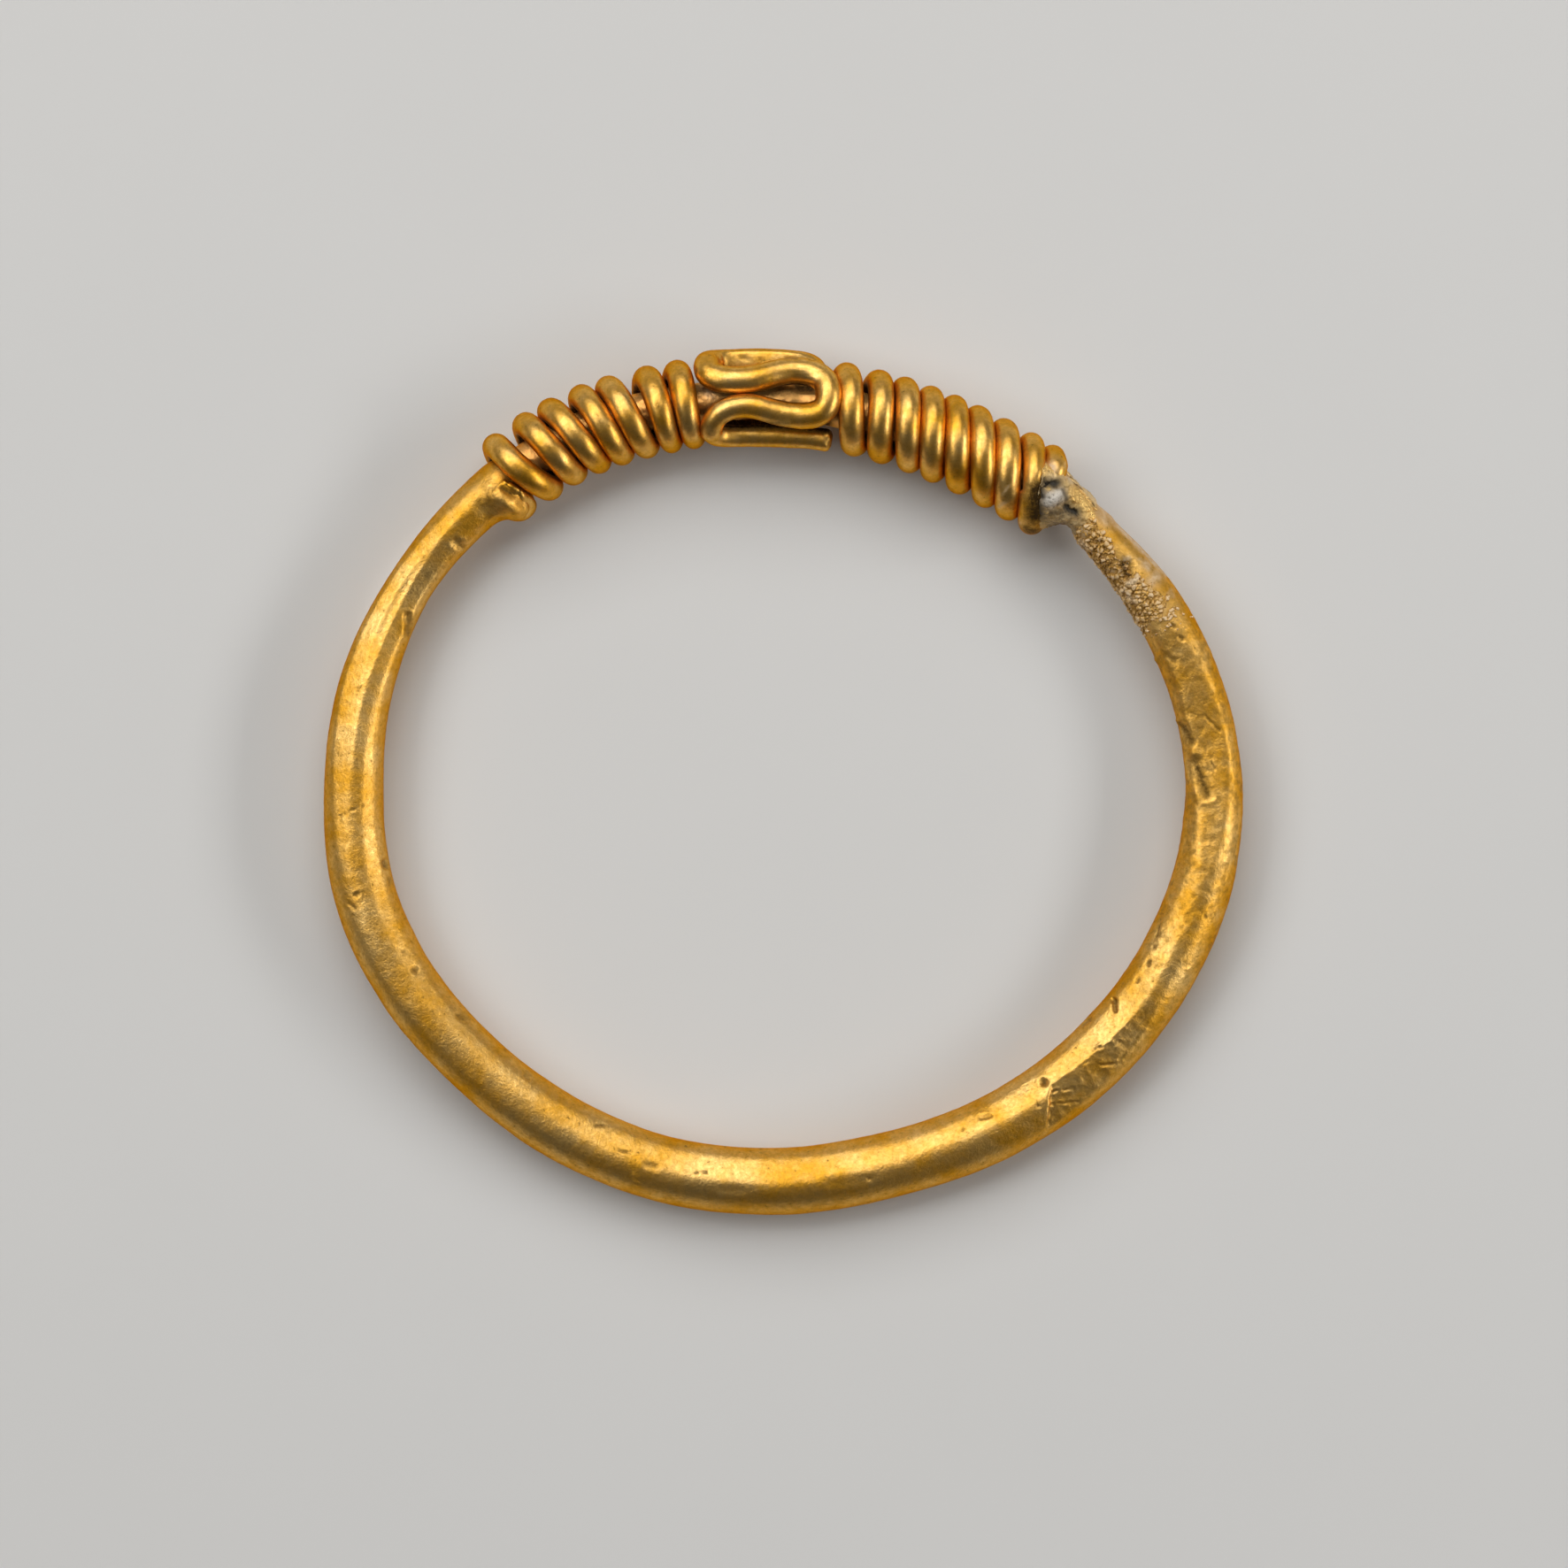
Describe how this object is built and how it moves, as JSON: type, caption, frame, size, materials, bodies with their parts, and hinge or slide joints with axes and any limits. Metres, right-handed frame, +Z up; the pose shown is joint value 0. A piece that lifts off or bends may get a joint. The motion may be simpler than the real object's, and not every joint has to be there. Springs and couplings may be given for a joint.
{
  "type": "twisted wire ring",
  "caption": "Ancient finger ring of forged gold: its thin front is wound with wire on both sides of an open wire cage.",
  "frame": {"origin": "on the table under the middle of the ring as it lies flat", "axes": "+Z up out of the finger hole, +Y towards the wire-wound front, +X to the right seen from above"},
  "size_m": [0.022, 0.0206, 0.0024],
  "materials": {
    "forged_gold": "warm satin gold, hammered and scraped, rose-coloured and rough on the thin core",
    "wire_gold": "warm satin gold, finely mottled, brighter where it is worn",
    "grey_solder": "lumpy grey and dark brown solder with pale patches"
  },
  "bodies": {
    "root": {"hoop": "forged_gold", "left_winding": "wire_gold", "right_winding": "wire_gold", "bezel_cage": "wire_gold", "shoulder_solder": "grey_solder"}
  },
  "joints": []
}
